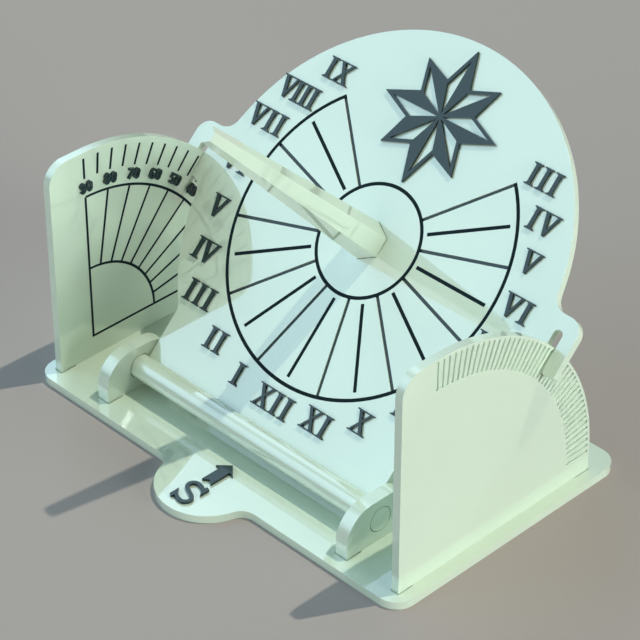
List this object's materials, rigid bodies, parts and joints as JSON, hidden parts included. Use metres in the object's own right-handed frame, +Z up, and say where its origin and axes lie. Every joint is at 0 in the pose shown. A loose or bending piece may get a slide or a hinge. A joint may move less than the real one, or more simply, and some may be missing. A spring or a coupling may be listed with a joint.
{
  "type": "sundial",
  "caption": "Tilting equatorial sundial: a round hour dial with a six-sided gnomon hinges over a flat base and rides in slots on two quadrant side plates, one scaled, one with a detent rack.",
  "frame": {"origin": "on the underside of the base plate, directly below the middle of the hinge axis", "axes": "+X to the right of someone reading the dial, +Y to the back, away from the hinge, +Z up from the base"},
  "size_m": [0.1758, 0.1472, 0.1369],
  "materials": {
    "body": "polished pale mint",
    "lettering": "polished slate blue",
    "inlay": "polished blue-black"
  },
  "bodies": {
    "base": {"base_plate": "body", "side_plate_scale": "body", "side_plate_rack": "body", "hinge_bracket_left": "body", "hinge_bracket_right": "body", "south_arrow": "lettering", "south_letter": "lettering", "degree_sector": "inlay", "degree_ticks": "inlay", "degree_numerals": "lettering"},
    "dial": {"dial_plate": "body", "pivot_rod": "body", "gnomon": "body", "compass_star": "lettering", "hour_arc": "inlay", "centre_ring": "inlay", "odd_hour_lines": "lettering", "even_hour_lines": "inlay", "numeral_morning_iii": "lettering", "numeral_morning_iv": "lettering", "numeral_morning_v": "lettering", "numeral_morning_vi": "lettering", "numeral_morning_vii": "lettering", "numeral_morning_viii": "lettering", "numeral_morning_ix": "lettering", "numeral_morning_x": "lettering", "numeral_morning_xi": "lettering", "numeral_noon_xii": "lettering", "numeral_afternoon_i": "lettering", "numeral_afternoon_ii": "lettering", "numeral_afternoon_iii": "lettering", "numeral_afternoon_iv": "lettering", "numeral_afternoon_v": "lettering", "numeral_afternoon_vi": "lettering", "numeral_afternoon_vii": "lettering", "numeral_afternoon_viii": "lettering", "numeral_afternoon_ix": "lettering"}
  },
  "joints": [
    {"name": "dial_tilt", "type": "hinge", "parent": "base", "child": "dial", "pos_m": [0, 0, 0.0112], "axis": [1, 0, 0], "range_deg": [-44.5, 45.5]}
  ]
}
